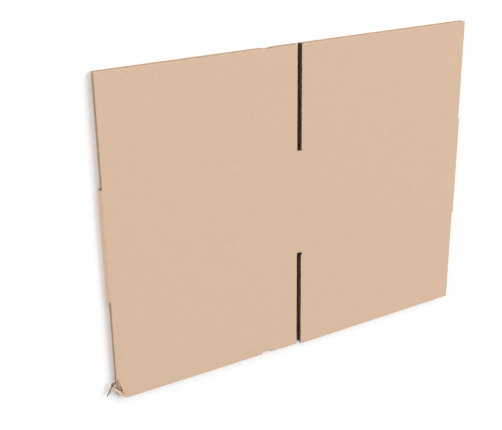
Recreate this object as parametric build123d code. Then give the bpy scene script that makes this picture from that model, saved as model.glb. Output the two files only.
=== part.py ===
from build123d import *
import math
import os

# A slotted carton of single-wall corrugated board, glued at its side joint and folded flat for delivery.
# It lies on its back layer: X runs across the four panels, Y along the flutes, Z up through the two layers.
# All sizes are millimetres. The origin is under the middle of the whole outline, on the surface it lies on.

# Panels, from score to score
PANEL_WIDTH = 304.0
BODY_HEIGHT = 158.0
FLAP_LENGTH = 152.0

# Board: two liners with a fluted medium between them
LINER = 0.4
MEDIUM = 0.3
FLUTE_HEIGHT = 3.0
FLUTE_PITCH = 8.0
CREST_FLAT = 1.2
TROUGH_FLAT = 0.65
TROUGH_ROUND = 0.4

# Slots between the flaps, cut through one layer at the middle and half in each layer at the folds
SLOT_WIDTH = 8.0
FLUTE_PAST_CUT = 0.5

# Side joint: the glue tab of the left back panel lies inside the right back panel
JOINT_EDGE = 2.5
TAB_WIDTH = 35.0
TAB_THICKNESS = 1.6
TAB_CLEARANCE = 0.4
TAB_ROOT = 6.0
TAB_INSET = 6.0
TAB_TAPER = 9.0
TAB_STEP_SAG = 0.6

# Creases: the round shoulder and the wall of the folds, and the grooves that the scoring wheels press
FOLD_SHOULDER = 3.4
FOLD_WALL = 2.4
SCORE_WIDTH = 6.0
SCORE_FLOOR = 2.0
SCORE_DEPTH = 0.25
CENTRE_SCORE_BACK_DEPTH = 1.1

# Wear: a skew cut, two dents pressed into the edges, and a torn corner, whose outlines give each point as its
# share of the width and of the height
SKEW_DROP = 2.4
BITE_CENTRE = -58.0
BITE_WIDTH = 20.0
BITE_FLOOR = 9.0
BITE_DEPTH = 2.6
DENT_CENTRE = -50.0
DENT_WIDTH = 16.0
DENT_FLOOR = 6.0
DENT_DEPTH = 1.2
CRUSH_WIDTH = 11.0
CRUSH_HEIGHT = 7.0
CRUSH_EDGE = [(0.0, 1.0), (0.27, 0.35), (1.0, 0.0)]
TEAR_WIDTH = 9.5
TEAR_HEIGHT = 33.0
TEAR_EDGE = [(0.0, 1.0), (0.2, 1.0), (0.5, 0.72), (0.75, 0.4), (1.0, 0.2), (0.85, 0.0)]
TEAR_DEPTH = 1.1

# How far a cutting tool stands past the face it cuts
CLEAR = 1.0

board = 2 * LINER + FLUTE_HEIGHT
layer_gap = TAB_THICKNESS + TAB_CLEARANCE
thickness = 2 * board + layer_gap
front_inside = board + layer_gap
half_height = BODY_HEIGHT / 2 + FLAP_LENGTH
half_body = BODY_HEIGHT / 2
half_slot = SLOT_WIDTH / 2
flap_side = PANEL_WIDTH - half_slot


def section(points):
    """Returns a face in the XZ plane from its corner points."""
    return make_face(Polyline(*[(x, 0, z) for x, z in points], close=True))


def plan(points):
    """Returns a face in the XY plane from its corner points."""
    return make_face(Polyline(*points, close=True))


def along_y(face, low, high):
    """Returns the solid that a section in the XZ plane fills from low to high along Y."""
    return Pos(0, high, 0) * extrude(face, amount=high - low, dir=(0, -1, 0))


def upright(face, low, high):
    """Returns the solid that a plan fills from low to high along Z."""
    return Pos(0, 0, low) * extrude(face, amount=high - low, dir=(0, 0, 1))


def block(x, y, z):
    """Returns a box from its three pairs of limits."""
    size = [high - low for low, high in (x, y, z)]
    middle = [(low + high) / 2 for low, high in (x, y, z)]
    return Pos(*middle) * Box(*size)


def channel_half_widths(pitch):
    """Returns how wide half a channel is at its liner, above its trough and on its trough."""
    flank = math.atan2(FLUTE_HEIGHT - MEDIUM, pitch / 2 - CREST_FLAT)
    middle = pitch / 4 - MEDIUM / (2 * math.sin(flank))
    at_liner = middle + FLUTE_HEIGHT / 2 / math.tan(flank)
    above_trough = middle - (FLUTE_HEIGHT / 2 - MEDIUM - TROUGH_ROUND) / math.tan(flank)
    return at_liner, above_trough, TROUGH_FLAT / 2


def channel(centre, inside, outwards, pitch, left=True, right=True):
    """Returns the corner points of one open channel of a fluted panel.

    centre is its X, inside the Z of the liner face that it doesn't touch, and outwards +1 or -1, the way it
    widens. A channel that a cut runs through has only its left or its right half.
    """
    wide, shoulder, narrow = channel_half_widths(pitch)
    levels = [MEDIUM, MEDIUM + TROUGH_ROUND, FLUTE_HEIGHT]
    heights = [inside + outwards * level for level in levels]
    side = list(zip((narrow, shoulder, wide), heights))
    right_side = [(centre + x, z) for x, z in side] if right else [(centre, z) for z in heights[::2]]
    left_side = [(centre - x, z) for x, z in side] if left else [(centre, z) for z in heights[::2]]
    return right_side + left_side[::-1]


def panel_channels(start, end, low):
    """Returns the channels of one panel whose flutes run from start to end and whose lower face is at low."""
    count = round((end - start) / FLUTE_PITCH)
    pitch = (end - start) / count
    floor = low + LINER
    roof = floor + FLUTE_HEIGHT
    upper = [
        channel(start + i * pitch, floor, 1, pitch, left=i > 0, right=i < count)
        for i in range(count + 1)
    ]
    lower = [channel(start + (i + 0.5) * pitch, roof, -1, pitch) for i in range(count)]
    return upper + lower


def sleeve_section():
    """Returns the folded sleeve's section: outline, the gap between its layers, and every channel."""
    corners = [(-PANEL_WIDTH, 0), (PANEL_WIDTH, 0), (PANEL_WIDTH, thickness), (-PANEL_WIDTH, thickness)]
    sharp = section(corners)
    outline = fillet(sharp.vertices(), FOLD_SHOULDER)
    gap_end = PANEL_WIDTH - FOLD_WALL
    gap_start = PANEL_WIDTH - half_slot + FLUTE_PAST_CUT
    gap = [
        (-gap_end, thickness / 2),
        (-gap_start, board),
        (gap_start, board),
        (gap_end, thickness / 2),
        (gap_start, front_inside),
        (-gap_start, front_inside),
    ]
    far = flap_side + FLUTE_PAST_CUT
    near = half_slot - FLUTE_PAST_CUT
    channels = [
        *panel_channels(-far, -near, 0),
        *panel_channels(JOINT_EDGE - FLUTE_PAST_CUT, far, 0),
        *panel_channels(-far, -near, front_inside),
        *panel_channels(near, far, front_inside),
    ]
    holes = [section(points).wire() for points in [gap, *channels]]
    return Face(outline.wire(), holes)


def glue_tab():
    """Returns the glue tab: crushed thin, stepped up over its crease, with tapered ends."""
    root = -half_slot - TAB_ROOT
    top = board + TAB_THICKNESS
    side = section([
        (root, 0),
        (-half_slot + CLEAR, 0),
        (0, board / 2 - TAB_STEP_SAG),
        (JOINT_EDGE, board),
        (TAB_WIDTH, board),
        (TAB_WIDTH, top),
        (-CLEAR, top),
        (-half_slot, board),
        (root, board),
    ])
    end = half_body - TAB_INSET
    outline = plan([
        (root, -end),
        (JOINT_EDGE, -end),
        (TAB_WIDTH, TAB_TAPER - end),
        (TAB_WIDTH, end - TAB_TAPER),
        (JOINT_EDGE, end),
        (root, end),
    ])
    return along_y(side, -end, end) & upright(outline, -CLEAR, top + CLEAR)


def slot_cuts():
    """Returns the tools that free the flaps from each other and open the side joint."""
    beyond = half_height + SKEW_DROP + CLEAR
    middle = board + layer_gap / 2
    both = (-CLEAR, thickness + CLEAR)
    front = (middle, thickness + CLEAR)
    back = (-CLEAR, middle)
    cuts = [block((-half_slot, JOINT_EDGE), (-beyond, beyond), back)]
    for ends in ((half_body, beyond), (-beyond, -half_body)):
        cuts.append(block((-half_slot, half_slot), ends, front))
        cuts.append(block((flap_side, PANEL_WIDTH + CLEAR), ends, both))
        cuts.append(block((-PANEL_WIDTH - CLEAR, -flap_side), ends, both))
    return cuts


def groove(face, depth, up):
    """Returns the corner points of a pressed groove across a face, as sideways place and height."""
    inside = face - up * depth
    outside = face + up * CLEAR
    flare = (SCORE_WIDTH - SCORE_FLOOR) / 2 * (1 + CLEAR / depth) + SCORE_FLOOR / 2
    return [(-SCORE_FLOOR / 2, inside), (SCORE_FLOOR / 2, inside), (flare, outside), (-flare, outside)]


def score_cuts():
    """Returns the grooves of the flap scores on both outsides, and of the score between the front panels."""
    cuts = []
    for centre in (-half_body, half_body):
        for face, up in ((0, -1), (thickness, 1)):
            points = [(-flap_side, centre + y, z) for y, z in groove(face, SCORE_DEPTH, up)]
            profile = make_face(Polyline(*points, close=True))
            cuts.append(extrude(profile, amount=2 * flap_side, dir=(1, 0, 0)))
    cuts.append(along_y(section(groove(thickness, SCORE_DEPTH, 1)), -half_body, half_body))
    inner = section(groove(front_inside, CENTRE_SCORE_BACK_DEPTH, -1))
    cuts.append(along_y(inner, -half_body, half_body))
    return cuts


def edge_bite(centre, width, floor, depth, edge):
    """Returns the tool for a dent in the cut edge at Y = edge, wide at the edge and narrow at its floor."""
    side = math.copysign(1, edge)
    inside = edge - side * depth
    outside = edge + side * CLEAR
    return upright(
        plan([
            (centre - floor / 2, inside),
            (centre + floor / 2, inside),
            (centre + width / 2, edge),
            (centre + width / 2, outside),
            (centre - width / 2, outside),
            (centre - width / 2, edge),
        ]),
        -CLEAR,
        thickness + CLEAR,
    )


def trim_cuts():
    """Returns the tools that trim the lower edge: square, but for the skew edge of the right front flap."""
    beyond = half_height + SKEW_DROP + CLEAR
    reach = PANEL_WIDTH + CLEAR
    between = board + layer_gap / 2
    back = block((-reach, reach), (-beyond, -half_height), (-CLEAR, between))
    left = block((-reach, 0), (-beyond, -half_height), (between, thickness + CLEAR))
    skew = plan([(0, -half_height - SKEW_DROP), (flap_side, -half_height), (reach, -half_height),
                 (reach, -beyond), (0, -beyond)])
    return [back, left, upright(skew, between, thickness + CLEAR)]


def corner_tool(shares, width, height, low):
    """Returns the tool that takes a corner off from low upwards, inside a torn line of width and height shares."""
    x = -flap_side
    y = -half_height
    line = [(x + across * width, y + up * height) for across, up in shares]
    beyond = [(line[-1][0], y - CLEAR), (x - CLEAR, y - CLEAR), (x - CLEAR, line[0][1])]
    return upright(plan(line + beyond), low, thickness + CLEAR)


def corner_cuts():
    """Returns the tools for the lower left front corner: crushed round, and its outer liner torn off."""
    return [
        corner_tool(CRUSH_EDGE, CRUSH_WIDTH, CRUSH_HEIGHT, board + layer_gap / 2),
        corner_tool(TEAR_EDGE, TEAR_WIDTH, TEAR_HEIGHT, thickness - TEAR_DEPTH),
    ]


def flattened_box():
    """Returns the folded sheet as one solid."""
    sleeve = along_y(sleeve_section(), -half_height - SKEW_DROP, half_height)
    cuts = [
        *slot_cuts(),
        *score_cuts(),
        *trim_cuts(),
        *corner_cuts(),
        edge_bite(BITE_CENTRE, BITE_WIDTH, BITE_FLOOR, BITE_DEPTH, -half_height),
        edge_bite(DENT_CENTRE, DENT_WIDTH, DENT_FLOOR, DENT_DEPTH, half_height),
    ]
    return (sleeve - cuts) + glue_tab()


os.makedirs("parts", exist_ok=True)
box = Pos(0, SKEW_DROP / 2, 0) * flattened_box()
box.label = "flattened_box"
export_step(box, "parts/flattened_box.step")
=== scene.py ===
import logging
import math
import random
from dataclasses import dataclass, replace
from enum import Enum
from functools import cached_property
from typing import Callable, Iterable, Mapping, Sequence

import bmesh
import bpy
from mathutils import Matrix, Vector, noise


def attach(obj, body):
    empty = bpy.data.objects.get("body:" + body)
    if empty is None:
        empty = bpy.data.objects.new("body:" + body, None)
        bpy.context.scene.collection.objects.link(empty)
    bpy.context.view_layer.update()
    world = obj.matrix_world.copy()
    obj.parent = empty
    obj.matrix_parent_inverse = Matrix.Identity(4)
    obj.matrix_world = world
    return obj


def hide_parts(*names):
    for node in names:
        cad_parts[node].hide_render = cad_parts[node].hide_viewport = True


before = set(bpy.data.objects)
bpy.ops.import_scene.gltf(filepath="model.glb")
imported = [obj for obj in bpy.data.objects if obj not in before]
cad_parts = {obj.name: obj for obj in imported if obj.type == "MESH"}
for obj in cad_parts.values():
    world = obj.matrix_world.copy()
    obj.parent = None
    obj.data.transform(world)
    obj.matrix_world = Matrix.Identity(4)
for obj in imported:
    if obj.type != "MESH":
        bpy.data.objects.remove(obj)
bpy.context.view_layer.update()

LOG = logging.getLogger("flattened_carton")
MM = 0.001
NODE_NAME = "flattened_box"
BODY_NAME = "root"
SHARP_ANGLE = math.radians(38.0)
QUARTER_TURN = 0.5 * math.pi
FULL_TURN = 2.0 * math.pi
WHITE = (1.0, 1.0, 1.0)

# A Mix node's sockets for colours, which share their names with those for numbers
COLOUR_MIX_INPUTS = (0, 6, 7)
COLOUR_MIX_OUTPUT = 2

# How near to each other places count as one, in millimetres, and the digits kept of a grid's places
SMALLEST_EDGE = 0.01
ON_EDGE = 1e-3
ON_CUT = 1e-4
PLACE_DIGITS = 5

Point = tuple[float, float]
Triple = tuple[float, float, float]
Row = tuple[float, ...]
Socket = bpy.types.NodeSocket


def smooth_step(low: float, high: float, value: float) -> float:
    """Returns a share that eases from 0 where the value is low to 1 where it is high."""
    share = min(max((value - low) / (high - low), 0.0), 1.0)
    return share * share * (3.0 - 2.0 * share)


def bell(offset: float, half_width: float) -> float:
    """Gives a soft hump.

    Args:
        offset: The distance from the hump's middle.
        half_width: The distance at which the hump ends, on either side.

    Returns:
        The hump's height, from 1 at its middle to 0 at its ends and beyond.
    """
    if abs(offset) >= half_width:
        return 0.0
    return math.cos(QUARTER_TURN * offset / half_width) ** 2


def lerp(start: float, end: float, share: float) -> float:
    """Returns the value that lies at share of the way from start to end."""
    return start + (end - start) * share


def even(start: float, end: float, count: int) -> list[float]:
    """Returns the places that part a span into count equal steps, with its two ends."""
    return [lerp(start, end, i / count) for i in range(count + 1)]


def in_order(places: Iterable[float]) -> list[float]:
    """Returns places in rising order, each of them once."""
    return sorted({round(place, PLACE_DIGITS) for place in places})


def wander(across: float, up: float, layer: float) -> float:
    """Returns smooth noise, from about -1 to 1, at a place of one of its layers."""
    return noise.noise(Vector((across, up, layer)))


class Cut(Enum):
    """The rotary cutter's ways of parting the board, with how ragged each leaves the edge in millimetres."""

    SLOT = 0.40
    TRIM = 0.16


class Mark(Enum):
    """What the vertices of a sheet tell its finishes, each with the name of its attribute."""

    CUT_DISTANCE = "cut_mm"
    TORN = "torn"
    # How much shade is painted into the colour at the centre slots
    PAINTED_SLOT_SHADE = "painted_slot_shade"


@dataclass(frozen=True)
class Dent:
    """A dent in a cut edge of both layers, in millimetres.

    A dent is wide at the edge and narrow at its floor, and presses the board thinner behind it.
    """

    centre: float
    half_width: float
    half_floor: float
    depth: float
    press: float
    side: int
    reach: float = 20.0
    inner_share: float = 0.5

    def share(self, across: float) -> float:
        """Returns how deep the dent is at a place across the panels, from 0 to 1."""
        return 1.0 - smooth_step(self.half_floor, self.half_width, abs(across - self.centre))

    def fade(self, from_edge: float) -> float:
        """Returns how much of the dent is left at a distance from the cut edge."""
        return max(0.0, 1.0 - from_edge / self.reach) ** 2


@dataclass(frozen=True)
class Nick:
    """A nick that a worn blade leaves at a centre slot of the front layer, in millimetres."""

    across: float
    up: float
    reach: float
    push: Point


@dataclass(frozen=True)
class Carton:
    """The carton's blank and its folds, in millimetres.

    A point of the blank has three coordinates: along runs across the four panels from the glue tab's score,
    up runs along the flutes from the middle of the body, and height runs outwards from the board's middle.

    The flutes of a panel are spread over its width and past_cut more on either side. The outer face of a
    fold is rounded by the shoulder, and its crushed board is fold_wall thick at the turn. The glue tab is
    tab_half high on either side at its score and tab_free_half at its free edge. Its outer face starts to
    step up tab_lag after its inner one, which is up tab_lag before the score. An inner share says how much
    of a press on the outer face shows on the inner one too. The shade painted into the colour at the
    centre slots starts painted_shade_start within the body, and ends painted_shade_reach beside the slots.
    """

    panel: float = 304.0
    half_body: float = 79.0
    half_height: float = 231.0
    centre_y: float = 1.2
    board: float = 3.8
    liner: float = 0.4
    medium: float = 0.3
    gap: float = 2.0
    half_slot: float = 4.0
    flutes: int = 37
    past_cut: float = 0.5
    shoulder: float = 3.4
    fold_wall: float = 2.4
    joint_edge: float = 2.5
    tab_width: float = 35.0
    tab_thickness: float = 1.6
    tab_half: float = 73.0
    tab_free_half: float = 64.0
    tab_lag: float = 1.0
    score_half: float = 3.2
    score_depth: float = 0.09
    centre_back_depth: float = 1.1
    skew_drop: float = 2.4
    edge_crush: float = 0.34
    edge_crush_reach: float = 2.6
    edge_crush_mean: float = 0.55
    edge_crush_stray: float = 0.75
    edge_crush_scale: float = 0.045
    edge_crush_layer: float = 3.1
    edge_inner_share: float = 0.4
    corner_press: float = 0.9
    corner_reach: float = 15.0
    corner_inner_share: float = 0.6
    slot_round: float = 1.5
    # How far within the body the shade painted at the centre slots starts, and how far beside them it ends
    painted_shade_start: float = 1.0
    painted_shade_reach: float = 5.0
    nicks: tuple[Nick, ...] = (
        Nick(across=4.0, up=-82.2, reach=3.2, push=(1.8, 0.4)),
        Nick(across=3.4, up=79.2, reach=2.6, push=(0.8, -1.3)),
    )
    dents: tuple[Dent, ...] = (
        Dent(centre=-58.0, half_width=10.0, half_floor=4.0, depth=2.6, press=0.9, side=-1),
        Dent(centre=-50.0, half_width=8.0, half_floor=2.6, depth=1.2, press=0.7, side=1),
    )

    @cached_property
    def thickness(self) -> float:
        """Returns how thick the folded carton is: two boards and the gap that the glue tab fills."""
        return 2.0 * self.board + self.gap

    @cached_property
    def blank_end(self) -> float:
        """Returns where the blank ends: the free edge of the fourth panel at the side joint."""
        return 4.0 * self.panel - self.joint_edge

    @cached_property
    def creases(self) -> Triple:
        """Returns where the three creases between the panels lie along the blank."""
        return self.panel, 2.0 * self.panel, 3.0 * self.panel

    @cached_property
    def runs(self) -> list[Point]:
        """Returns where the flutes of each panel start and end along the blank."""
        return self.panel_spans(self.past_cut)

    def panel_spans(self, past: float = 0.0) -> list[Point]:
        """Finds where the four panels lie along the blank.

        Args:
            past: How far each span reaches past the panel's cut sides.

        Returns:
            The start and the end of each panel's span.
        """
        inset = self.half_slot - past
        bounds = (0.0, *self.creases, self.blank_end + self.half_slot)
        return [(start + inset, end - inset) for start, end in zip(bounds, bounds[1:])]

    def across(self, along: float) -> float:
        """Finds where a place along the blank lies across the folded carton.

        Args:
            along: The place along the blank.

        Returns:
            The place across the carton, its X.
        """
        if along < self.creases[0]:
            return -along
        if along < self.creases[2]:
            return along - self.creases[1]
        return 4.0 * self.panel - along

    def is_front(self, along: float) -> bool:
        """Returns whether a place along the blank lies in the upper layer of the folded carton."""
        return self.creases[0] < along < self.creases[2]

    def tab_limit(self, along: float) -> float:
        """Returns how far up from the middle the glue tab reaches at a place along it."""
        share = (-along - self.joint_edge) / (self.tab_width - self.joint_edge)
        return lerp(self.tab_half, self.tab_free_half, min(max(share, 0.0), 1.0))

    def has_board(self, along: float, up: float) -> bool:
        """Finds whether the blank has board at a place.

        Args:
            along: The place along the blank.
            up: The place up the blank.

        Returns:
            False in a slot and beside the glue tab, True elsewhere.
        """
        if along < self.half_slot:
            return abs(up) < self.tab_half
        if abs(up) < self.half_body:
            return True
        return all(abs(along - crease) > self.half_slot for crease in self.creases)

    def cut_distance(self, along: float, up: float) -> float:
        """Measures how far a place on the blank is from the nearest cut edge.

        Args:
            along: The place along the blank.
            up: The place up the blank.

        Returns:
            The distance in millimetres.
        """
        found = [self.half_height - abs(up), self.blank_end - along]
        if along < self.half_slot:
            found += [self.tab_limit(along) - abs(up), along + self.tab_width]
        elif abs(up) > self.tab_half:
            found.append(along - self.half_slot)
        below = max(self.half_body - abs(up), 0.0)
        for crease in self.creases:
            found.append(math.hypot(max(abs(along - crease) - self.half_slot, 0.0), below))
        return max(min(found), 0.0)

    def shift_up(self, along: float, up: float) -> float:
        """Moves a place up the blank to where the skew cut, the dents and the tab's taper put it.

        Args:
            along: The place along the blank.
            up: The place on a blank with square edges.

        Returns:
            The place up the real blank.
        """
        if along < self.half_slot:
            return up * self.tab_limit(along) / self.tab_half
        across = self.across(along)
        if self.creases[1] < along < self.creases[2] and up < -self.half_body:
            flap_share = (abs(up) - self.half_body) / (self.half_height - self.half_body)
            reach = self.panel - self.half_slot
            up -= self.skew_drop * max(0.0, 1.0 - across / reach) * flap_share
        for dent in self.dents:
            if up * dent.side > 0.0:
                up -= dent.side * dent.depth * dent.share(across) * dent.fade(self.half_height - abs(up))
        return up

    def presses(self, along: float, up: float) -> Point:
        """Works out how far the board is pressed in from its outer and its inner face.

        Args:
            along: The place along the blank.
            up: The place up the blank.

        Returns:
            The two depths in millimetres, outer first.
        """
        outer = self.score_depth * bell(abs(up) - self.half_body, self.score_half)
        inner = 0.0
        if abs(up) < self.half_body + self.score_half:
            crease = bell(along - self.creases[1], self.half_slot)
            outer = max(outer, self.score_depth * crease)
            inner += self.centre_back_depth * crease
        edge = max(0.0, 1.0 - self.cut_distance(along, up) / self.edge_crush_reach) ** 2
        if edge > 0.0:
            stray = wander(along * self.edge_crush_scale, up * self.edge_crush_scale, self.edge_crush_layer)
            crushed = self.edge_crush * edge * (self.edge_crush_mean + self.edge_crush_stray * stray)
            outer += crushed
            inner += self.edge_inner_share * crushed
        across = self.across(along)
        for dent in self.dents:
            if up * dent.side > 0.0:
                pressed = dent.press * dent.share(across) * dent.fade(self.half_height - abs(up)) ** 2
                outer += pressed
                inner += dent.inner_share * pressed
        from_corner = math.hypot(across + self.panel - self.half_slot, up + self.half_height)
        pressed = self.corner_press * max(0.0, 1.0 - from_corner / self.corner_reach)
        return max(outer + pressed, 0.0), max(inner + self.corner_inner_share * pressed, 0.0)

    def corner_shift(self, along: float, up: float) -> Point:
        """Rounds the square ends of the slots.

        Args:
            along: The place along the blank.
            up: The place up the blank.

        Returns:
            How far a place on a slot's edge moves, across and up. Any other place stays.
        """
        radius = self.slot_round
        past = abs(up) - self.half_body
        crease = min(self.creases, key=lambda place: abs(along - place))
        off = along - crease
        aside = self.half_slot - abs(off)
        half_arc = 0.5 * QUARTER_TURN
        if abs(past) < ON_EDGE and -ON_EDGE < aside < radius:
            turn = half_arc * (1.0 - aside / radius)
        elif abs(aside) < ON_EDGE and 0.0 < past < radius:
            turn = half_arc * (1.0 + past / radius)
        else:
            return 0.0, 0.0
        across_arc = self.half_slot - radius + radius * math.sin(turn)
        up_arc = self.half_body + radius - radius * math.cos(turn)
        return math.copysign(1.0, off) * (across_arc - abs(off)), math.copysign(1.0, up) * (up_arc - abs(up))

    def nick_shift(self, along: float, up: float) -> Point:
        """Works out how far the nicks push the edge of a centre slot.

        Args:
            along: The place along the blank.
            up: The place up the blank.

        Returns:
            How far the place moves, across and up.
        """
        across_push, up_push = 0.0, 0.0
        for nick in self.nicks:
            share = bell(math.hypot(along - self.creases[1] - nick.across, up - nick.up), nick.reach)
            across_push += share * nick.push[0]
            up_push += share * nick.push[1]
        return across_push, up_push

    def painted_slot_shade(self, along: float, up: float) -> float:
        """Works out how much shade is painted into the colour of a place at the centre slots.

        Args:
            along: The place along the blank.
            up: The place up the blank.

        Returns:
            The share of the painted shade, from 0 to 1.
        """
        if abs(up) < self.half_body - self.painted_shade_start:
            return 0.0
        gone = max(abs(self.across(along)) - self.half_slot, 0.0)
        return 1.0 - smooth_step(0.0, self.painted_shade_reach, gone)

    def fold_point(self, side: int, turn: float, share: float) -> Point:
        """Finds a point in a fold between two layers that lie flat on each other.

        Args:
            side: -1 for the left fold and 1 for the right one.
            turn: How far round the fold, from -1 at the back layer to 1 at the front one.
            share: How far through the board, from 0 at its inner face to 1 at its outer one.

        Returns:
            The point's X and Z.
        """
        half = self.thickness / 2.0
        straight = half - self.shoulder
        length = abs(turn) * (straight + QUARTER_TURN * self.shoulder)
        sign = math.copysign(1.0, turn)
        centre = self.panel - self.shoulder
        if length < straight:
            outer = (self.panel, half + sign * length)
        else:
            angle = (length - straight) / self.shoulder
            rise = straight + self.shoulder * math.sin(angle)
            outer = (centre + self.shoulder * math.cos(angle), half + sign * rise)
        bend = QUARTER_TURN * turn
        hollow = self.shoulder - self.fold_wall
        inner = (centre + hollow * math.cos(bend), half + self.gap / 2.0 * math.sin(bend))
        return side * lerp(inner[0], outer[0], share), lerp(inner[1], outer[1], share)

    def tab_point(self, along: float, share: float) -> Point:
        """Finds a point of the glue tab, which steps up inside the fourth panel.

        Args:
            along: The place along the blank.
            share: How far through the board, from 0 at its inner face to 1 at its outer one.

        Returns:
            The point's X and Z.
        """
        x = -along
        outer = self.board * smooth_step(self.tab_lag - self.half_slot, self.joint_edge, x)
        inner = self.board + self.tab_thickness * smooth_step(-self.half_slot, -self.tab_lag, x)
        return x, lerp(inner, outer, share)

    def place(self, flat: Vector) -> Vector:
        """Folds a point of the flat blank to its place in the carton.

        Args:
            flat: The point's place along, up and height.

        Returns:
            The point in the part's frame, in metres.
        """
        along, up, height = flat
        outer_press, inner_press = self.presses(along, up)
        half = self.board / 2.0
        height = lerp(inner_press - half, half - outer_press, 0.5 + height / self.board)
        share = 0.5 + height / self.board
        left = along - self.creases[0]
        right = along - self.creases[2]
        if along < self.half_slot:
            x, z = self.tab_point(along, share)
        elif abs(left) < self.shoulder:
            x, z = self.fold_point(-1, left / self.shoulder, share)
        elif abs(right) < self.shoulder:
            x, z = self.fold_point(1, -right / self.shoulder, share)
        elif self.is_front(along):
            x, z = self.across(along), self.thickness - half + height
        else:
            x, z = self.across(along), half - height
        return Vector((x, self.shift_up(along, up) + self.centre_y, z)) * MM


@dataclass(frozen=True)
class Tear:
    """The torn lower left corner of the front layer, in millimetres across and up from that corner.

    The liner is torn off inside its line, the board is crushed away inside the next, and a slit runs
    through the whole layer. The back layer is crushed too, inside a line of its own. What is left round
    the corner is roughed up, fully inside full_share of the reach and not at all past it.
    """

    liner_line: tuple[Point, ...] = (
        (-1.0, 33.4), (1.9, 33.0), (2.7, 28.5), (4.4, 24.2), (5.1, 19.6), (7.0, 15.4),
        (6.4, 12.0), (8.2, 9.4), (8.9, 6.4), (8.0, 3.4), (8.6, -1.0), (-1.0, -1.0),
    )
    crush_line: tuple[Point, ...] = (
        (-1.0, 12.0), (0.6, 9.6), (2.4, 7.4), (4.8, 5.0), (8.4, 2.5), (12.0, 0.9), (15.0, -1.0), (-1.0, -1.0),
    )
    back_line: tuple[Point, ...] = (
        (-1.0, 8.4), (0.8, 6.8), (2.6, 4.6), (5.4, 2.4), (9.0, 0.9), (12.0, -1.0), (-1.0, -1.0),
    )
    slit: tuple[Point, ...] = (
        (-1.0, 20.4), (1.2, 18.4), (3.6, 15.2), (5.6, 12.6), (5.2, 11.2), (2.4, 13.2), (-1.0, 16.2),
    )
    ragged: float = 0.5
    levels: int = 2
    level_share: float = 0.55
    reach: Point = (13.0, 36.0)
    full_share: float = 0.55

    def ragged_line(self, line: Sequence[Point], seed: int) -> list[Point]:
        """Breaks a line into short pieces whose joints stray to either side.

        Args:
            line: The line's points.
            seed: The seed of the strays.

        Returns:
            The points of the ragged line.
        """
        chance = random.Random(seed)
        points = list(line)
        stray = self.ragged
        for _ in range(self.levels):
            finer = [points[0]]
            for start, end in zip(points, points[1:]):
                middle = [lerp(a, b, 0.5) + chance.uniform(-stray, stray) for a, b in zip(start, end)]
                finer += [tuple(middle), end]
            points = finer
            stray *= self.level_share
        return points

    def share(self, across: float, up: float) -> float:
        """Returns how much a place is torn, from 1 at the corner to 0 at the tear's reach."""
        gone = math.hypot(across / self.reach[0], up / self.reach[1])
        return 1.0 - smooth_step(self.full_share, 1.0, gone)


def sides(outline: Sequence[Point]) -> Iterable[tuple[Point, Point]]:
    """Returns the sides of a closed outline, each by its two ends."""
    return zip(outline, [*outline[1:], outline[0]])


def inside_outline(outline: Sequence[Point], place: Point) -> bool:
    """Finds whether a place lies inside a closed outline.

    Args:
        outline: The outline's points.
        place: The place.

    Returns:
        True inside the outline.
    """
    across, up = place
    inside = False
    for (x0, y0), (x1, y1) in sides(outline):
        if (y0 > up) != (y1 > up) and across < lerp(x0, x1, (up - y0) / (y1 - y0)):
            inside = not inside
    return inside


def strip_faces(bm: bmesh.types.BMesh, unwanted: Callable[[Vector], bool]) -> None:
    """Deletes the faces whose centre is unwanted, and the edges and vertices that only they used."""
    doomed = [face for face in bm.faces if unwanted(face.calc_center_median())]
    bmesh.ops.delete(bm, geom=doomed, context="FACES")


def thicken(bm: bmesh.types.BMesh) -> list[bmesh.types.BMVert]:
    """Gives a sheet a second face, joined to the first all round, and returns its vertices."""
    copied = bmesh.ops.extrude_face_region(bm, geom=bm.faces[:], use_keep_orig=True)
    return [item for item in copied["geom"] if isinstance(item, bmesh.types.BMVert)]


def make_object(bm: bmesh.types.BMesh, name: str) -> bpy.types.Object:
    """Makes an object of a finished mesh, with smooth shading between its sharp edges.

    Args:
        bm: The mesh, which is freed.
        name: The object's name.

    Returns:
        The object, linked to the scene.
    """
    bmesh.ops.recalc_face_normals(bm, faces=bm.faces[:])
    for face in bm.faces:
        face.smooth = True
    for edge in bm.edges:
        edge.smooth = edge.calc_face_angle(math.pi) < SHARP_ANGLE
    mesh = bpy.data.meshes.new(name)
    bm.to_mesh(mesh)
    bm.free()
    piece = bpy.data.objects.new(name, mesh)
    bpy.context.scene.collection.objects.link(piece)
    return piece


def triangles(piece: bpy.types.Object) -> int:
    """Returns how many triangles an object's mesh comes to."""
    return sum(len(polygon.vertices) - 2 for polygon in piece.data.polygons)


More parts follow.
